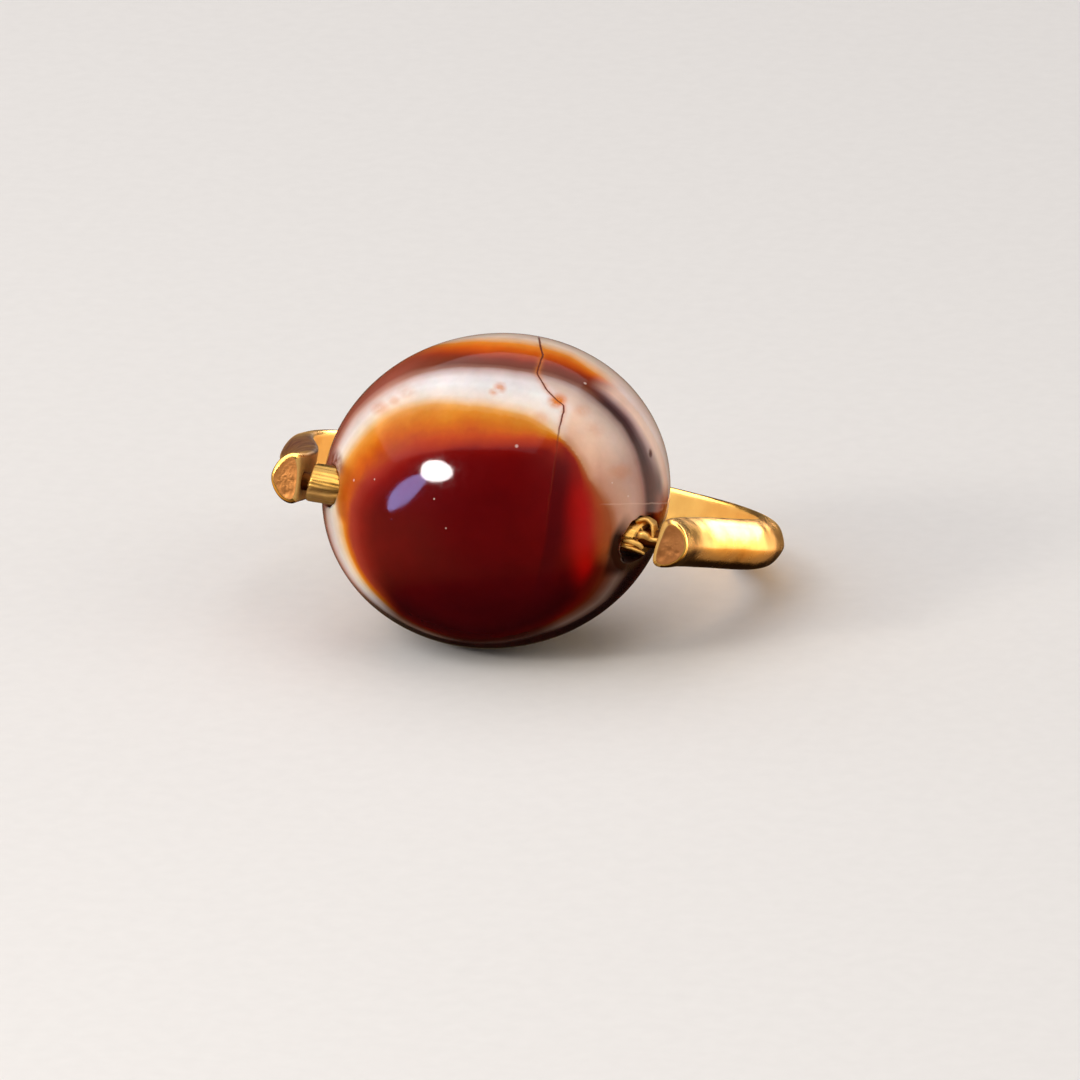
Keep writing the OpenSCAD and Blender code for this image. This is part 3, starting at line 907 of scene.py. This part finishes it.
# %% Agate: colours of the layers
# Stops are (layer count, colour). All sides but the underside have the same back.
BACK = ((6.1, "#9a4d38"), (6.85, "#7e2e1f"), (7.15, "#efe3dc"), (7.8, "#efe3dc"), (8.15, "#b5571e"),
        (8.95, "#8a2512"), (9.3, "#5c0d0a"), (10, "#5a0a09"))
LAYER_COLOURS = {
    "top": (
        (0.0, "#5a0508"), (0.6, "#660608"), (0.8, "#780c08"), (0.88, "#a0280e"), (1.05, "#be4611"),
        (1.3, "#cd660e"), (1.5, "#d0760f"), (1.7, "#d98821"), (1.87, "#e6a654"), (2.0, "#eac49c"),
        (2.15, "#efe2d8"), (2.45, "#eeebec"), (2.68, "#e8e0e2"), (2.9, "#c9b0ad"), (3.06, "#93604f"),
        (3.3, "#73351f"), (3.7, "#83331a"), (3.95, "#9a3616"), (4.15, "#b84712"), (4.5, "#dc6410"),
        (4.9, "#ee8f2e"), (5.08, "#f4b880"), (5.4, "#f5dcc8"), (5.95, "#eed3c6"), *BACK),
    "left_side_with_haze": (
        (0.0, "#5a0508"), (0.6, "#680608"), (0.8, "#86140f"), (0.95, "#a02e22"), (1.1, "#b04422"),
        (1.3, "#c45614"), (1.5, "#cf6612"), (1.75, "#de8222"), (1.92, "#ea9c40"), (2.05, "#ecb878"),
        (2.25, "#f0dac0"), (2.5, "#f0e3db"), (2.75, "#e6cfc8"), (2.92, "#dcb9ae"), (3.08, "#c48f7e"),
        (3.35, "#a25646"), (3.95, "#a64e38"), (5.0, "#a4503c"), (5.6, "#c68c74"), (5.95, "#dcb4a2"), *BACK),
    "right_side": (
        (0.0, "#5a0508"), (0.6, "#660507"), (0.85, "#7a0607"), (1.0, "#8c1408"), (1.15, "#9e300e"),
        (1.5, "#aa4a1a"), (1.8, "#ac5c2e"), (2.0, "#c48a64"), (2.12, "#e6baa0"), (2.35, "#f4d2bb"),
        (2.6, "#e9cfc1"), (2.85, "#cfb6ab"), (2.97, "#a48a84"), (3.06, "#523835"), (3.2, "#4a3032"),
        (3.34, "#745557"), (3.5, "#c3a19e"), (3.7, "#f4d0be"), (4.5, "#f5d6c8"), (5.1, "#f6e0da"),
        (5.6, "#f0d2c6"), (5.95, "#e0baac"), *BACK),
    "painted_shade_underside": (
        (0.0, "#420407"), (0.7, "#420406"), (0.95, "#4c0505"), (1.2, "#560805"), (1.6, "#5a1206"),
        (1.95, "#5c2410"), (2.2, "#643e30"), (2.5, "#786056"), (2.75, "#60493f"), (2.95, "#341d1a"),
        (3.15, "#1c0b0d"), (3.8, "#1a0708"), (4.4, "#300909"), (5.0, "#3c0e0b"), (5.95, "#301411"),
        (6.9, "#260e0a"), (7.5, "#3c2a26"), (8.5, "#2c0a07"), (10, "#280506")),
}
ramps = {side: node(tree, "ValToRGB", [waved], [(at / LAYERS, code) for at, code in stops])
         for side, stops in LAYER_COLOURS.items()}
# Each mark in turn covers the colour so far with another ramp or with a tint.
covers = [(read(name), cover) for name, cover in (
    ("left_side_with_haze", ramps["left_side_with_haze"]), ("right_side", ramps["right_side"]), ("low_right", "#582b22"),
    ("painted_shade_underside", ramps["painted_shade_underside"]), ("painted_shade_very_low", "#2c0a08"), ("core_shade", "#2c0409"),
    ("red_glow", "#aa0604"), ("crack_shadow", "#43050c"), ("rust_and_shade", "#9c3c10"), ("mouth_shade", "#2a0a06"))]
print("agate ramps and covers:", len(ramps), len(covers))

# %% [markdown]
# Stains and streaks are broken up by their clouds. The crack could be cut into the mesh, but a
# line 0.05 mm wide would need a far finer one. Here each point knows its distance from the crack,
# and a line is drawn where that is almost nothing. The level scratch at the right is drawn alike.

# %% Agate: lip, stains and the crack
def fine_line(distance, wander, shift, thin, thick):
    """1 where distance plus shift is 0, falling to 0 between thin and thick beside it, all in
    millimetres. The line's course wanders over a range of about wander."""
    off = node(tree, "Math", [cloud["jag"], wander, distance], operation="MULTIPLY_ADD")
    off = node(tree, "Math", [off, shift], operation="ADD")
    off = node(tree, "Math", [off], operation="ABSOLUTE")
    return node(tree, "MapRange", [off, thin, thick, 1, 0])


streaks = node(tree, "MapRange", [cloud["streaks"], 0.3, 0.6, 0.5])
stains = node(tree, "MapRange", [cloud["stains"], 0.1, 0.5])
crack_line = fine_line(read("crack"), 0.12, -0.06, 0.018, 0.055)
shown = {}
for name, broken_by, code in (("left_lip", streaks, "#8a4c40"), ("stain", stains, "#db7d2a"),
                              ("crack_strength", crack_line, "#6c2a14")):
    shown[name] = node(tree, "Math", [read(name), broken_by], operation="MULTIPLY")
    covers.append((shown[name], code))
crack_shown = shown["crack_strength"]
print("marks broken up by clouds:", len(shown))

# %% Agate: specks and painted glints, a scratch and a nick
for x, z, radius in SPECKS_AND_GLINTS:
    off = node(tree, "VectorMath", [place, seen_at(x, z)], operation="DISTANCE")
    covers.append((node(tree, "MapRange", [off, 0.4 * radius * MM, radius * MM, 0.7, 0]), "#e6cfc4"))
SCRATCH_DROP = 0.67                  # mm below the bead's middle, as seen from the front
scratch = fine_line(read("seen_height"), 0.08, SCRATCH_DROP, 0.01, 0.045)
covers.append((node(tree, "Math", [scratch, read("scratched")], operation="MULTIPLY"), "#f0c8b4"))
# The nick is a lens about 0.8 mm long and 0.12 mm wide: its distance is measured in a squeezed space.
NICK, NICK_LEAN = (6.64, 1.38), -0.33
off = node(tree, "Mapping", {"Vector": place, "Location": -seen_at(*NICK)})
off = node(tree, "Mapping", {"Vector": off, "Rotation": (0, NICK_LEAN, 0), "Scale": (1.6, 0.5, 0.24)})
off = node(tree, "VectorMath", [off], operation="LENGTH")
covers.append((node(tree, "MapRange", [off, 0.06 * MM, 0.13 * MM, 0.9, 0]), "#5c2a22"))
colour = ramps["top"]
for share, cover in covers:
    colour = node(tree, "Mix", {0: share, 6: colour, 7: cover}, data_type="RGBA")
print("agate covers:", len(covers))

# %% [markdown]
# What makes the stone look deep is that its colour is never quite even, and that light scatters
# under its polish. Real agate has fine lines a few hundredths of a millimetre apart. They are
# drawn about four to a layer, as coarse as they need to be to show. Tiny pits and the crack's
# groove are too small for the mesh, so a bump tilts the light there.

# %% Agate: depth of colour and polish
FINE_LINES = 260                     # radians over all the layers together
fine = node(tree, "Math", [waved, FINE_LINES], operation="MULTIPLY")
fine = node(tree, "Math", [fine], operation="SINE")
fine = node(tree, "Math", [fine, 0.02, cloud["mottle"]], operation="MULTIPLY_ADD")
value = node(tree, "MapRange", [fine, 0.3, 0.7, 0.76, 0.94])
rough = node(tree, "MapRange", [cloud["haze"], 0.35, 0.75, 0.045, 0.13])
cells = node(tree, "TexVoronoi", {"Vector": place, "Scale": 1 / (0.55 * MM)})
pits = node(tree, "MapRange", [cells, 0.03, 0.09])
bump = node(tree, "Bump", {"Height": pits, "Strength": 0.12, "Distance": 0.02 * MM})
bump = node(tree, "Bump", {"Height": crack_shown, "Strength": 0.6, "Distance": 0.03 * MM, "Normal": bump},
            invert=True)
feed(tree, shader, {
    "Base Color": node(tree, "HueSaturation", {"Value": value, "Color": colour}),
    "Roughness": node(tree, "Math", [crack_shown, 0.4, rough], operation="MULTIPLY_ADD"),
    "Normal": bump, "IOR": 1.54, "Specular IOR Level": 0.1, "Subsurface Weight": 0.3,
    "Subsurface Radius": (1.0, 0.25, 0.12), "Subsurface Scale": 0.9 * MM})
bead.data.materials.append(agate)
print("agate nodes:", len(tree.nodes))

# %% [markdown]
# ### Gold
# The bar is high-carat gold alloy, cast, hammered and worn smooth. It is a bare metal: all of its
# colour is in its reflections. What makes it look worn is roughness that changes from place to
# place, and hair scratches that run every way. One function makes the four golds of the ring,
# which differ in colour, polish and the spacing of their hair lines.

# %% Gold alloys
def gold_alloy(name, bright, dull, polish, lines_mm, grain):
    """A worn gold. bright and dull are hex colours, polish the range of roughness, lines_mm the spacing of
    the hair lines and grain how strongly they stand out. Where the piece has its satin mark, it is duller
    and painted a little lighter, as painted light. Where it has its film mark, it is duller and browner:
    partly a real film, partly painted shade."""
    material, tree, shader = new_material(name)
    place = node(tree, "TexCoord").outputs["Object"]
    # Size in mm, detail and roughness of patches of colour, of wear and of tiny dings. Two more
    # clouds, pulled long and turned apart, are the hair lines.
    patches, wear, dings = (
        node(tree, "TexNoise", {"Vector": place, "Scale": 1 / (size * MM), "Detail": detail,
                                "Roughness": harsh})
        for size, detail, harsh in ((2.2, 5, 0.6), (0.8, 7, 0.65), (0.45, 3, 0.5)))
    hairs = []
    for turned, pulled_by, spacing, detail in (((0.2, 0.1, 0.5), (0.08, 1, 1), lines_mm, 4),
                                               ((0.9, 0.4, -0.8), (1, 0.06, 1), lines_mm * 1.4, 3)):
        long = node(tree, "Mapping", {"Vector": place, "Rotation": turned, "Scale": pulled_by})
        hairs.append(node(tree, "TexNoise", {"Vector": long, "Scale": 1 / (spacing * MM), "Detail": detail}))
    satin, film_and_shade = (node(tree, "Attribute", attribute_name=kept).outputs["Fac"]
                   for kept in ("satin", "film_and_shade"))
    patch = node(tree, "MapRange", [patches, 0.35, 0.68])
    broken = node(tree, "MapRange", [wear, 0.3, 0.6, 0.8])
    film_and_shade = node(tree, "Math", [film_and_shade, broken], operation="MULTIPLY")
    # Satin paints the gold a little lighter, as painted light, and the film paints it brown, partly as a
    # real film and partly as painted shade.
    satin_painted_light = node(tree, "Math", [satin, 0.3], operation="MULTIPLY")
    colour = bright
    for share, cover in ((patch, dull), (satin_painted_light, "#ffdb8c"), (film_and_shade, "#4c1e08")):
        colour = node(tree, "Mix", {0: share, 6: colour, 7: cover}, data_type="RGBA")
    # Satin and the film, with its painted shade, add to the roughness, and hide some or all of the metal
    # under them.
    rough = node(tree, "MapRange", [wear, 0.3, 0.7, *polish])
    bare = 1.0
    for worn, rougher, hidden in ((satin, 0.2, -0.35), (film_and_shade, 0.25, -1.0)):
        rough = node(tree, "Math", [worn, rougher, rough], operation="MULTIPLY_ADD")
        bare = node(tree, "Math", [worn, hidden, bare], operation="MULTIPLY_ADD", use_clamp=True)
    hair = node(tree, "Math", hairs, operation="ADD")
    bump = node(tree, "Bump", {"Height": hair, "Strength": grain, "Distance": 0.01 * MM})
    bump = node(tree, "Bump", {"Height": dings, "Strength": 0.22, "Distance": 0.03 * MM, "Normal": bump})
    feed(tree, shader, {"Base Color": colour, "Metallic": bare, "Roughness": rough, "Normal": bump,
                        "Specular IOR Level": 0.2})
    return material


bar_gold = gold_alloy("worn high-carat gold", "#fac86a", "#eaa948", (0.15, 0.3), 0.06, 0.16)
cut_gold = gold_alloy("sawn gold with a brown film", "#cf8e52", "#9e632a", (0.42, 0.62), 0.05, 0.7)
strip_gold = gold_alloy("rolled gold strip", "#f8ca72", "#d99b45", (0.2, 0.38), 0.035, 0.35)
wire_gold = gold_alloy("drawn gold wire", "#7e481c", "#5e3212", (0.3, 0.5), 0.03, 0.4)
print("golds:", [gold.name for gold in (bar_gold, cut_gold, strip_gold, wire_gold)])

# %% [markdown]
# The pin is plain wire, and the roll hides nearly all of it, so it keeps its built solid and only
# gets a finish. The hoop gets two, because its cut ends were never polished. Their faces could be
# picked by hand: here the mark on their points picks them.

# %% Finishes onto the gold pieces
hoop.data.materials.append(bar_gold)
hoop.data.materials.append(cut_gold)
face_mark = np.zeros(len(hoop.data.vertices), np.float32)
hoop.data.attributes["cut_face"].data.foreach_get("value", face_mark)
for face in hoop.data.polygons:
    face.material_index = int(min(face_mark[i] for i in face.vertices) > 0.6)
roll.data.materials.append(strip_gold)
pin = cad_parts["pin"]
pin.data.materials.clear()
pin.data.materials.append(wire_gold)
print("faces of the two cut ends:", sum(face.material_index for face in hoop.data.polygons))

# %% [markdown]
# ## Floor, light and camera
# A plain pale floor and soft studio light show the object fairly. The floor could mirror in the
# ring too, but it is left out of reflections, so that the stone and the gold keep their dark
# undersides.

# %% Floor
FLOOR = 3.0                          # half its width, in metres
floor_mesh = bpy.data.meshes.new("floor")
corners = [(-FLOOR, -FLOOR, 0), (FLOOR, -FLOOR, 0), (FLOOR, FLOOR, 0), (-FLOOR, FLOOR, 0)]
floor_mesh.from_pydata(corners, [], [(0, 1, 2, 3)])
floor = in_scene("floor", floor_mesh)
card, tree, shader = new_material("pale matt card")
place = node(tree, "TexCoord").outputs["Object"]
fibre = node(tree, "TexNoise", {"Vector": place, "Scale": 1 / (0.8 * MM)})
tone = node(tree, "Mix", {0: fibre, 6: "#e4e3e1", 7: "#eae9e7"}, data_type="RGBA")
feed(tree, shader, {"Base Color": tone, "Roughness": 0.8})
floor_mesh.materials.append(card)
floor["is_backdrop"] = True
floor.visible_glossy = False
print("floor, m across:", 2 * FLOOR)

# %% [markdown]
# The key light is small enough to leave one clear highlight on the stone. Gleams are lights that
# show only as reflections, like the cards a photographer holds up. Each catches only one piece,
# which light linking does, so that the metal can be bright where the stone stays dark.

# %% Lights
def panel(name, azimuth, elevation, away, size, power, colour, shape="RECTANGLE"):
    """A flat soft light that faces the ring from a direction. size and away in metres."""
    data = bpy.data.lights.new(name, "AREA")
    data.shape, data.energy, data.color = shape, power, linear(colour)[:3]
    data.size, data.size_y = size
    light = in_scene(name, data)
    a, e = math.radians(azimuth), math.radians(elevation)
    towards = Vector((math.sin(a) * math.cos(e), -math.cos(a) * math.cos(e), math.sin(e)))
    light.location = towards * away + Vector((0, 0, 0.007))
    light.rotation_mode = "QUATERNION"
    light.rotation_quaternion = (-towards).to_track_quat("-Z", "Y")
    return light


CEILING = (-0.45, 0.05, 0.46)
ceiling = panel("ceiling_panel", 0, 90, 0.45, (1.3, 0.9), 3.35, "#fbfaff")
ceiling.location = CEILING
panel("front_fill", -30, 38, 0.5, (0.4, 0.3), 1.2, "#fffaf6").visible_glossy = False
panel("key_light", -40, 26, 0.36, (0.07, 0.055), 0.3, "#fff6ea")

# Each gleam, the piece it shows in, and how far it is turned in its own plane.
gleams = [
    (panel("overhead_gleam", 0, 90, 0.45, (1.3, 0.9), 2.6, "#fbf8ff"), bead, 0),
    (panel("overhead_glow", 0, 90, 0.45, (1.3, 0.9), 15.0, "#fffaf2"), hoop, 0),
    (panel("round_gleam", -40, 26, 0.34, (0.115, 0.08), 3.2, "#fff8f6", "ELLIPSE"), bead, 0),
    (panel("cool_gleam", -53, 10, 0.4, (0.08, 0.22), 1.5, "#9cb0ff", "ELLIPSE"), bead, -0.6),
    (panel("arm_gleam", 143, 8, 0.6, (1.05, 0.17), 3.8, "#fff2e2"), hoop, 0.2),
    (panel("low_gleam", 142, -29, 0.5, (0.38, 0.42), 0.135, "#ffd8ac", "ELLIPSE"), hoop, 0),
    (panel("strip_gleam", 8, 42, 0.5, (0.7, 0.5), 1.4, "#fff2dc"), roll, 0),
]
# Lights in one plane would hide each other, so the two overhead gleams hang just under the ceiling.
for drop, (light, _, _) in zip((0.01, 0.02), gleams):
    light.location = CEILING
    light.location.z -= drop
for light, piece, turned in gleams:
    light.rotation_quaternion @= Quaternion((0, 0, 1), turned)
    light.visible_diffuse = False
    catches = bpy.data.collections.new("catches_" + light.name)
    catches.objects.link(piece)
    light.light_linking.receiver_collection = catches
print("gleams:", len(gleams))

# %% [markdown]
# The room round the ring is a soft grey glow, as bright at the horizon as the floor and darker
# overhead, so that no hard line crosses the reflections in the polished stone. Bare gold shows
# little but its room, so a few wide patches, bright or dim, give it something to mirror.

# %% Room
world = bpy.data.worlds.new("soft room")
bpy.context.scene.world = world
world.use_nodes = True
tree = world.node_tree
looking = node(tree, "TexCoord").outputs["Generated"]
upwards = node(tree, "SeparateXYZ", [looking]).outputs["Z"]
height_share = node(tree, "MapRange", [upwards, -1])
room = node(tree, "ValToRGB", [height_share], [
    (0.0, "#241a14"), (0.12, "#33241a"), (0.17, "#a8824e"), (0.27, "#dcb47c"), (0.42, "#e2c494"),
    (0.5, "#c0ac90"), (0.55, "#b2b0ad"), (0.68, "#6c6b6a"), (0.85, "#424242"), (1.0, "#3a3a3a")])
# direction, how near to it the patch begins and is full, its share, colour, times brighter
PATCHES = [
    ((0.88, -0.38, 0.28), 0.5, 0.98, 1.0, "#fff3e5", 1.5),       # a warm window low on the right
    ((0.2, -0.97, 0.0), 0.45, 0.95, 0.85, "#3a3836", 1),         # dim in front: keeps the red deep
    ((0.66, 0.745, -0.06), 0.88, 0.97, 1.0, "#fff2e1", 1.8),     # a shine low behind the right arm
    ((-0.35, 0.89, -0.3), 0.55, 0.9, 0.9, "#2a221c", 1),         # dim behind: shades the left arm
    ((0.0, 0.64, -0.77), 0.86, 0.955, 0.95, "#1a100c", 1),       # darker still low behind
]
for direction, begins, full, share, code, brighter in PATCHES:
    near = node(tree, "VectorMath", [looking, direction], operation="DOT_PRODUCT")
    near = node(tree, "MapRange", [near, begins, full, 0, share], interpolation_type="SMOOTHERSTEP")
    light = [c * brighter for c in linear(code)]
    room = node(tree, "Mix", {0: near, 6: room, 7: light}, data_type="RGBA")
feed(tree, tree.nodes["Background"], {"Color": room, "Strength": 1.0})
print("room nodes:", len(tree.nodes))

# %% [markdown]
# The camera stands in front and a little to the right, about twenty degrees above the floor, and
# well back with a long lens, as small jewels are photographed. Its place is worked out backwards
# from the pin's middle, so that the ring sits where it should in the picture.

# %% Camera at the photograph's angle
CAMERA_AWAY, LENS = 411.4, 323.6     # mm
CAMERA_ROLL = math.radians(-1.33)
FRAME_SHIFT = (-2.49, 1.436)         # mm from the picture's middle to the pin's middle
AIM = np.array([0.39, -7.55, 7.0])
forward = np.array([-math.sin(VIEW_AZIMUTH) * math.cos(VIEW_ELEVATION),
                    math.cos(VIEW_AZIMUTH) * math.cos(VIEW_ELEVATION), -math.sin(VIEW_ELEVATION)])
cam_x = math.cos(CAMERA_ROLL) * view_right + math.sin(CAMERA_ROLL) * view_up
cam_y = -math.sin(CAMERA_ROLL) * view_right + math.cos(CAMERA_ROLL) * view_up
camera_data = bpy.data.cameras.new("camera")
camera_data.lens, camera_data.sensor_width = LENS, 36
camera_data.clip_start, camera_data.clip_end = 0.01, 20
camera = in_scene("camera", camera_data)
spot = (AIM - FRAME_SHIFT[0] * cam_x - FRAME_SHIFT[1] * cam_y - CAMERA_AWAY * forward) * MM
camera.matrix_world = Matrix(np.vstack([np.c_[cam_x, cam_y, -forward, spot], [0, 0, 0, 1]]).tolist())
bpy.context.scene.camera = camera
bpy.context.scene.view_settings.view_transform = "Standard"
print("camera at, mm:", [round(float(v) * 1000, 1) for v in spot])

# %% [markdown]
# Last, the box of the dressed ring is kept beside that of the solids, to show that nothing grew.

# %% Finish
seen_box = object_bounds()
below = [seen - solid for seen, solid in zip(seen_box[0], cad_box[0])]
above = [solid - seen for seen, solid in zip(seen_box[1], cad_box[1])]
print("least room inside the solids' box, mm:", round(min(below + above) * 1000, 3))
